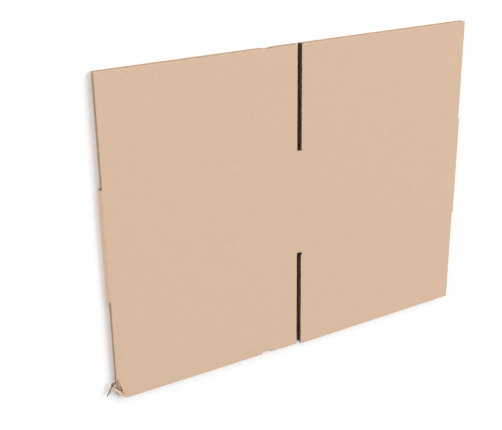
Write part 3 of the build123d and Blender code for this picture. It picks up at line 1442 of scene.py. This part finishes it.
@dataclass
class PaperEffects:
    """The effects that the paper finishes share, each a node group that is built once.

    Stretches and shifts are per axis, and spans are of noise or of a share of a size.
    """

    grain_stretch: Triple = (0.22, 1.0, 1.0)
    coarse_scale: float = 0.3
    coarse_share: float = 0.4
    grain_span: Point = (0.32, 0.68)
    cloud_shift: Triple = (3.7, 1.9, 0.4)
    small_cloud_scale: float = 2.3
    red_span: Point = (0.38, 0.66)
    yellow_span: Point = (0.42, 0.68)
    fleck_stretch: Triple = (0.45, 1.0, 1.0)
    fleck_edge: float = 0.045
    wear_scale: float = 420.0
    wear_noise: Point = (0.3, 0.7)
    wear_widths: Point = (0.1, 1.5)
    wear_fade: Point = (0.2, 1.0)
    speck_stretch: Triple = (1.0, 2.6, 1.0)
    speck_fade: Point = (0.35, 1.0)

    @cached_property
    def grain(self) -> bpy.types.NodeTree:
        """Builds the fine grain of pressed fibres, which lie across the flutes.

        Returns:
            The node group.
        """
        graph, given, result = new_effect("fibre_grain", ("Fineness",), ("Shade", "Height"))
        lying = graph.vector("MULTIPLY", given["Vector"], self.grain_stretch)
        fine = graph.noise(lying, given["Fineness"], detail=3.0, rough=0.6)
        coarse_scale = graph.maths("MULTIPLY", given["Fineness"], self.coarse_scale)
        coarse = graph.noise(given["Vector"], coarse_scale, detail=2.0, rough=0.55)
        fine_part = graph.maths("MULTIPLY", fine, 1.0 - self.coarse_share)
        both = graph.maths("ADD", fine_part, graph.maths("MULTIPLY", coarse, self.coarse_share))
        graph.feed(result["Shade"], graph.span(both, self.grain_span))
        graph.feed(result["Height"], both)
        return graph.tree

    @cached_property
    def cloud(self) -> bpy.types.NodeTree:
        """Builds the clouds of slightly redder and slightly yellower pulp in a sheet.

        Returns:
            The node group.
        """
        graph, given, result = new_effect("paper_cloud", ("Scale",), ("Red", "Yellow"))
        shifted = graph.vector("ADD", given["Vector"], self.cloud_shift)
        small_scale = graph.maths("MULTIPLY", given["Scale"], self.small_cloud_scale)
        large = graph.noise(given["Vector"], given["Scale"], detail=4.0, rough=0.6)
        small = graph.noise(shifted, small_scale, detail=3.0, rough=0.55)
        graph.feed(result["Red"], graph.eased(large, self.red_span))
        graph.feed(result["Yellow"], graph.eased(small, self.yellow_span))
        return graph.tree

    @cached_property
    def fleck(self) -> bpy.types.NodeTree:
        """Builds sparse short flecks of stray fibre.

        Returns:
            The node group.
        """
        graph, given, result = new_effect("fibre_fleck", ("Scale", "Rarity"), ("Mask",))
        lying = graph.vector("MULTIPLY", given["Vector"], self.fleck_stretch)
        found = graph.noise(lying, given["Scale"], detail=1.0, rough=0.4)
        full = graph.maths("ADD", given["Rarity"], self.fleck_edge)
        graph.feed(result["Mask"], graph.eased(found, (given["Rarity"], full)))
        return graph.tree

    @cached_property
    def wear(self) -> bpy.types.NodeTree:
        """Builds the worn, fluffed line along the cuts, from the distance to them.

        Returns:
            The node group.
        """
        graph, given, result = new_effect("cut_wear", ("Distance", "Width"), ("Mask",))
        uneven = graph.noise(given["Vector"], self.wear_scale, detail=3.0, rough=0.6)
        width = graph.maths("MULTIPLY", given["Width"], graph.span(uneven, self.wear_noise, self.wear_widths))
        near = graph.maths("DIVIDE", given["Distance"], width)
        graph.feed(result["Mask"], graph.eased(near, self.wear_fade, (1.0, 0.0)))
        return graph.tree

    @cached_property
    def speck(self) -> bpy.types.NodeTree:
        """Builds one small oblong speck at a place on the board.

        Returns:
            The node group.
        """
        graph, given, result = new_effect("single_speck", ("Size", "Slant"), ("Mask",), ("Vector", "Centre"))
        inputs = {"Vector": given["Vector"], "Center": given["Centre"], "Angle": given["Slant"]}
        turned = graph.node("ShaderNodeVectorRotate", inputs, rotation_type="Z_AXIS")
        away = graph.vector("SUBTRACT", turned.outputs["Vector"], given["Centre"])
        narrow = graph.vector("MULTIPLY", away, self.speck_stretch)
        near = graph.maths("DIVIDE", graph.vector("LENGTH", narrow, output="Value"), given["Size"])
        graph.feed(result["Mask"], graph.eased(near, self.speck_fade, (1.0, 0.0)))
        return graph.tree


@dataclass(frozen=True)
class Speck:
    """A speck in the outer liner: its place on the front face and its size in millimetres, and its slant."""

    x: float
    y: float
    size: float
    slant: float
    light: bool = False
    z: float = Carton().thickness

    @property
    def centre(self) -> Triple:
        """Returns the speck's place in metres."""
        return self.x * MM, self.y * MM, self.z * MM


SPECKS = (
    Speck(-205.0, -36.8, 2.6, -0.8),
    Speck(-84.0, -93.8, 1.9, 0.4),
    Speck(-115.0, -36.8, 1.8, 0.1, light=True),
    Speck(37.0, 13.2, 1.8, 0.7),
    Speck(206.0, -45.8, 2.2, -0.3),
    Speck(-189.0, 208.2, 1.6, 0.9),
    Speck(-190.0, 156.2, 1.5, 0.2),
    Speck(86.0, 75.2, 1.5, -0.6),
    Speck(-119.0, -209.8, 2.0, 0.3, light=True),
)


@dataclass(frozen=True)
class PaperFinish:
    """A paper of the board: its colours, its clouds, flecks, specks and wear, the shade painted into it at
    the centre slots, and how rough it is.

    A share says how strongly a mark covers the colour below it.
    """

    name: str
    base: Triple
    red: Triple
    yellow: Triple
    dark_fleck: Triple
    light_fleck: Triple
    worn: Triple
    cloud_scale: float = 34.0
    cloud_share: float = 0.8
    yellow_share: float = 0.75
    grain: float = 0.05
    fineness: float = 1500.0
    fleck_share: float = 0.5
    fleck_scale: float = 1000.0
    fleck_rarity: float = 0.72
    light_fleck_shift: Triple = (0.31, 0.17, 0.05)
    light_fleck_scale: float = 1.2
    light_fleck_rarity: float = 0.01
    specks: tuple[Speck, ...] = ()
    speck_share: float = 0.6
    wear_width: float = 0.8
    wear_share: float = 0.8
    torn: Triple | None = None
    torn_scale: float = 520.0
    torn_span: Point = (0.35, 0.6)
    # The share of brightness left where shade is painted into the colour at the centre slots; 1 paints none
    painted_slot_brightness: float = 1.0
    roughness: Point = (0.80, 0.94)
    bump: float = 0.35
    bump_depth: float = 0.00006
    specular: float = 0.22

    def pulp(self, graph: Graph, effects: PaperEffects, vector: Socket, grain: Socket) -> Socket:
        """Mixes the colour of the clean paper.

        Args:
            graph: The material's graph.
            effects: The shared effects.
            vector: The place on the object.
            grain: The shade of the grain.

        Returns:
            The colour.
        """
        cloud = graph.effect(effects.cloud, vector=vector, scale=self.cloud_scale)
        colour = graph.tinted(self.base, cloud.outputs["Red"], self.cloud_share, self.red)
        yellow_share = self.yellow_share * self.cloud_share
        colour = graph.tinted(colour, cloud.outputs["Yellow"], yellow_share, self.yellow)
        return graph.shaded(colour, graph.span(grain, (0.0, 1.0), (1.0 - self.grain, 1.0 + self.grain)))

    def marks(
        self, graph: Graph, effects: PaperEffects, vector: Socket
    ) -> list[tuple[bpy.types.Node, float, Triple]]:
        """Adds the effects that mark the paper.

        Args:
            graph: The material's graph.
            effects: The shared effects.
            vector: The place on the object.

        Returns:
            The node, the share and the colour of each mark, the lowest first.
        """
        dark = graph.effect(effects.fleck, vector=vector, scale=self.fleck_scale, rarity=self.fleck_rarity)
        light = graph.effect(
            effects.fleck,
            vector=graph.vector("ADD", vector, self.light_fleck_shift),
            scale=self.light_fleck_scale * self.fleck_scale,
            rarity=self.light_fleck_rarity + self.fleck_rarity,
        )
        found = [(dark, self.fleck_share, self.dark_fleck), (light, self.fleck_share, self.light_fleck)]
        for speck in self.specks:
            spot = graph.effect(
                effects.speck, vector=vector, centre=speck.centre, size=speck.size * MM, slant=speck.slant
            )
            found.append((spot, self.speck_share, self.light_fleck if speck.light else self.dark_fleck))
        distance = graph.attribute(Mark.CUT_DISTANCE)
        wear = graph.effect(effects.wear, vector=vector, distance=distance, width=self.wear_width)
        return [*found, (wear, self.wear_share, self.worn)]

    def build(self, effects: PaperEffects) -> bpy.types.Material:
        """Makes the paper's material.

        Args:
            effects: The shared effects.

        Returns:
            The material.
        """
        material = bpy.data.materials.new(self.name)
        material.diffuse_color = (*self.base, 1.0)
        graph = fresh_graph(material)
        vector = graph.object_place()
        grain = graph.effect(effects.grain, vector=vector, fineness=self.fineness).outputs
        colour = self.pulp(graph, effects, vector, grain["Shade"])
        for mark, share, tint in self.marks(graph, effects, vector):
            colour = graph.tinted(colour, mark.outputs["Mask"], share, tint)
        if self.torn is not None:
            patches = graph.noise(vector, self.torn_scale, detail=4.0, rough=0.65)
            share = graph.span(patches, self.torn_span)
            colour = graph.tinted(colour, graph.attribute(Mark.TORN), share, self.torn)
        # Painted shade: the colour is darkened at the centre slots, standing in for the little light inside
        # them
        if self.painted_slot_brightness < 1.0:
            shade = graph.span(graph.attribute(Mark.PAINTED_SLOT_SHADE), (0.0, 1.0), (1.0, self.painted_slot_brightness))
            colour = graph.shaded(colour, shade)
        relief = {"Strength": self.bump, "Distance": self.bump_depth, "Height": grain["Height"]}
        surface = {
            "Base Color": colour,
            "Roughness": graph.span(grain["Shade"], (0.0, 1.0), self.roughness),
            "Normal": graph.node("ShaderNodeBump", relief).outputs["Normal"],
            "Specular IOR Level": self.specular,
        }
        graph.finish("ShaderNodeOutputMaterial", graph.node("ShaderNodeBsdfPrincipled", surface))
        return material


OUTER_KRAFT = PaperFinish(
    name="outer_kraft",
    base=(0.690, 0.495, 0.355),
    red=(0.700, 0.484, 0.345),
    yellow=(0.684, 0.508, 0.352),
    dark_fleck=(0.44, 0.28, 0.17),
    light_fleck=(0.84, 0.68, 0.53),
    worn=(0.78, 0.61, 0.46),
    grain=0.045,
    fleck_share=0.34,
    fleck_rarity=0.735,
    specks=SPECKS,
)
INNER_KRAFT = PaperFinish(
    name="inner_kraft",
    base=(0.630, 0.440, 0.304),
    red=(0.605, 0.403, 0.274),
    yellow=(0.638, 0.459, 0.308),
    dark_fleck=(0.30, 0.18, 0.10),
    light_fleck=(0.62, 0.45, 0.31),
    worn=(0.67, 0.48, 0.335),
    cloud_scale=60.0,
    grain=0.08,
    fleck_rarity=0.66,
    bump=0.5,
    # Painted shade at the centre slots leaves this share of the colour's brightness
    painted_slot_brightness=0.11,
)
FLUTING = PaperFinish(
    name="fluting_paper",
    base=(0.630, 0.443, 0.305),
    red=(0.578, 0.394, 0.259),
    yellow=(0.660, 0.476, 0.327),
    dark_fleck=(0.28, 0.17, 0.10),
    light_fleck=(0.62, 0.45, 0.31),
    worn=(0.70, 0.52, 0.373),
    cloud_scale=80.0,
    grain=0.12,
    fleck_share=0.6,
    fleck_rarity=0.64,
    wear_width=1.2,
    bump=0.7,
    specular=0.15,
    torn=(0.450, 0.308, 0.197),
    # Painted shade at the centre slots leaves this share of the colour's brightness
    painted_slot_brightness=0.11,
)
# Fluted paper painted dark with shade, for the spike and the loop, which stand for the shaded side of the
# torn paper
PAINTED_SHADE_FLUTING = replace(
    FLUTING,
    name="fluting_in_painted_shade",
    base=(0.135, 0.085, 0.050),
    red=(0.115, 0.070, 0.040),
    yellow=(0.160, 0.104, 0.064),
    light_fleck=(0.34, 0.24, 0.16),
    worn=(0.16, 0.10, 0.06),
)
CUT_KRAFT = PaperFinish(
    name="cut_kraft",
    base=(0.700, 0.508, 0.361),
    red=(0.632, 0.435, 0.294),
    yellow=(0.768, 0.582, 0.435),
    dark_fleck=(0.30, 0.18, 0.10),
    light_fleck=(0.80, 0.65, 0.52),
    worn=(0.75, 0.565, 0.42),
    cloud_scale=520.0,
    cloud_share=1.0,
    grain=0.16,
    fineness=2600.0,
    fleck_share=0.7,
    fleck_rarity=0.58,
    bump=0.9,
    bump_depth=0.00012,
    specular=0.1,
)
TORN_KRAFT = replace(
    CUT_KRAFT,
    name="torn_kraft",
    base=(0.710, 0.555, 0.440),
    red=(0.590, 0.425, 0.305),
    yellow=(0.760, 0.620, 0.505),
    dark_fleck=(0.26, 0.15, 0.08),
    light_fleck=(0.84, 0.69, 0.56),
    worn=(0.70, 0.53, 0.39),
    cloud_scale=300.0,
    grain=0.18,
    fineness=2200.0,
    bump=0.7,
)


@dataclass
class FlattenedCarton:
    """The dressed carton: three sheets of board, its torn corner and its cut fibres."""

    carton: Carton = Carton()
    tear: Tear = Tear()

    def pieces(self) -> list[tuple[bpy.types.Object, tuple[PaperFinish, ...]]]:
        """Makes the carton's pieces.

        Returns:
            Each piece with the finishes of its material slots.
        """
        carton, tear = self.carton, self.tear
        return [
            (LinerSheet("outer_liner", carton, tear, seed=3).build(), (OUTER_KRAFT, CUT_KRAFT)),
            (
                LinerSheet("inner_liner", carton, tear, seed=5, outside=False, column_step=4.0).build(),
                (INNER_KRAFT, CUT_KRAFT),
            ),
            (FlutedMedium("fluted_medium", carton, tear, seed=7).build(), (FLUTING, FLUTING)),
            (TornCorner("torn_corner", carton, tear).build(), (TORN_KRAFT, PAINTED_SHADE_FLUTING)),
            (CutFibres("cut_fibres", carton).build(), (CUT_KRAFT,)),
        ]

    def build(self, effects: PaperEffects) -> list[bpy.types.Object]:
        """Args:
            effects: The shared effects.

        Returns:
            The pieces' objects.
        """
        materials: dict[str, bpy.types.Material] = {}
        built = []
        for piece, finishes in self.pieces():
            for finish in finishes:
                if finish.name not in materials:
                    materials[finish.name] = finish.build(effects)
                piece.data.materials.append(materials[finish.name])
            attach(piece, BODY_NAME)
            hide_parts(NODE_NAME)
            built.append(piece)
        return built


@dataclass(frozen=True)
class Viewpoint:
    """The camera's place and aim in millimetres, its lens, and its roll in degrees to the picture's right.

    It sees what lies between its near and its far limit, which are in metres.
    """

    location: Triple = (-711.8, 487.5, 1067.5)
    target: Triple = (-81.7, -0.3, 9.6)
    lens: float = 67.41
    roll: float = 0.88
    sensor: float = 36.0
    near: float = 0.01
    far: float = 100.0

    def build(self) -> bpy.types.Object:
        """Makes the camera, looking down on the carton with its flutes upright in the picture.

        Returns:
            The camera's object.
        """
        data = bpy.data.cameras.new("camera")
        data.lens = self.lens
        data.sensor_width = self.sensor
        data.sensor_fit = "HORIZONTAL"
        data.clip_start = self.near
        data.clip_end = self.far
        location = Vector(self.location) * MM
        forward = (Vector(self.target) * MM - location).normalized()
        right = forward.cross(Vector((0.0, 1.0, 0.0))).normalized()
        upward = right.cross(forward)
        roll = math.radians(self.roll)
        upright = math.cos(roll) * upward + math.sin(roll) * right
        sideways = forward.cross(upright)
        turn = Matrix((sideways, upright, -forward)).transposed().to_4x4()
        camera = bpy.data.objects.new("camera", data)
        camera.matrix_world = Matrix.Translation(location) @ turn
        bpy.context.scene.collection.objects.link(camera)
        return camera


@dataclass(frozen=True)
class Lamp:
    """A soft square white lamp: where it stands in metres, its side and its power in watts."""

    name: str
    location: Triple
    size: float
    power: float

    def build(self) -> None:
        """Makes the lamp, aimed at the middle of the carton."""
        data = bpy.data.lights.new(self.name, "AREA")
        data.shape = "SQUARE"
        data.size = self.size
        data.energy = self.power
        lamp = bpy.data.objects.new(self.name, data)
        lamp.location = self.location
        lamp.rotation_euler = (-Vector(self.location)).to_track_quat("-Z", "Y").to_euler()
        bpy.context.scene.collection.objects.link(lamp)


@dataclass(frozen=True)
class Studio:
    """The plain white studio: floor, sky, lamps and camera. Its sizes are in metres.

    The floor is clouded between two whites. The camera sees it a little lifted near the carton, and lifted
    to the white of the sky far from it.
    """

    floor_half: float = 5.5
    floor_cells: int = 8
    floor_white: float = 0.985
    floor_cloud: float = 0.01
    floor_cloud_scale: float = 2.0
    floor_roughness: float = 0.95
    floor_lifts: Point = (0.1, 0.7)
    lift_span: Point = (1.0, 3.5)
    sky_lights: Point = (0.45, 1.0)
    lamps: tuple[Lamp, ...] = (
        Lamp("key", (6.2, 2.85, 6.65), 7.5, 622.0),
        Lamp("side_fill", (-6.0, 1.0, 1.9), 3.5, 110.0),
        Lamp("top_fill", (-0.5, 6.0, 1.9), 3.5, 100.0),
    )
    viewpoint: Viewpoint = Viewpoint()

    def floor(self) -> bpy.types.Object:
        """Makes the pale floor that the carton lies on.

        Returns:
            The floor's object.
        """
        bm = bmesh.new()
        cells = self.floor_cells
        bmesh.ops.create_grid(bm, x_segments=cells, y_segments=cells, size=self.floor_half)
        floor = make_object(bm, "floor")
        material = bpy.data.materials.new("white_floor")
        graph = fresh_graph(material)
        vector = graph.object_place()
        cloud = graph.noise(vector, self.floor_cloud_scale, detail=2.0, rough=0.55)
        white, dull = ((shade,) * 3 for shade in (self.floor_white, self.floor_white - self.floor_cloud))
        away = graph.vector("LENGTH", vector, output="Value")
        lift = graph.eased(away, self.lift_span, self.floor_lifts)
        surface = {
            "Base Color": graph.blend(cloud, white, dull),
            "Roughness": self.floor_roughness,
            "Specular IOR Level": 0.0,
            "Emission Color": WHITE,
            "Emission Strength": graph.maths("MULTIPLY", self.seen_directly(graph), lift),
        }
        graph.finish("ShaderNodeOutputMaterial", graph.node("ShaderNodeBsdfPrincipled", surface))
        floor.data.materials.append(material)
        return floor

    @staticmethod
    def seen_directly(graph: Graph) -> Socket:
        """Finds what is seen without other light in between.

        Args:
            graph: The graph of the material or the world.

        Returns:
            A socket that is 1 for what the camera, a reflection or a clear thing shows.
        """
        path = graph.node("ShaderNodeLightPath")
        seen = graph.maths("MAXIMUM", path.outputs["Is Camera Ray"], path.outputs["Is Glossy Ray"])
        return graph.maths("MAXIMUM", seen, path.outputs["Is Transmission Ray"])

    def sky(self) -> None:
        """Makes the white sky, which lights less than it shows to the camera and in reflections."""
        world = bpy.data.worlds.new("studio_sky")
        bpy.context.scene.world = world
        graph = fresh_graph(world)
        strength = graph.span(self.seen_directly(graph), (0.0, 1.0), self.sky_lights)
        light = graph.node("ShaderNodeBackground", {"Color": WHITE, "Strength": strength})
        graph.finish("ShaderNodeOutputWorld", light)

    def build(self) -> None:
        """Makes the whole studio and sets the scene's camera and view transform."""
        scene = bpy.context.scene
        self.floor()
        self.sky()
        for lamp in self.lamps:
            lamp.build()
        scene.camera = self.viewpoint.build()
        scene.view_settings.view_transform = "Standard"


def write_sizes() -> None:
    """Updates the view layer."""
    bpy.context.view_layer.update()


def main() -> None:
    """Builds the studio and the carton, and reports each piece."""
    logging.basicConfig(level=logging.INFO, format="%(message)s")
    Studio().build()
    for piece in FlattenedCarton().build(PaperEffects()):
        LOG.info("%s: %d triangles", piece.name, triangles(piece))
    write_sizes()


if __name__ == "__main__":
    main()
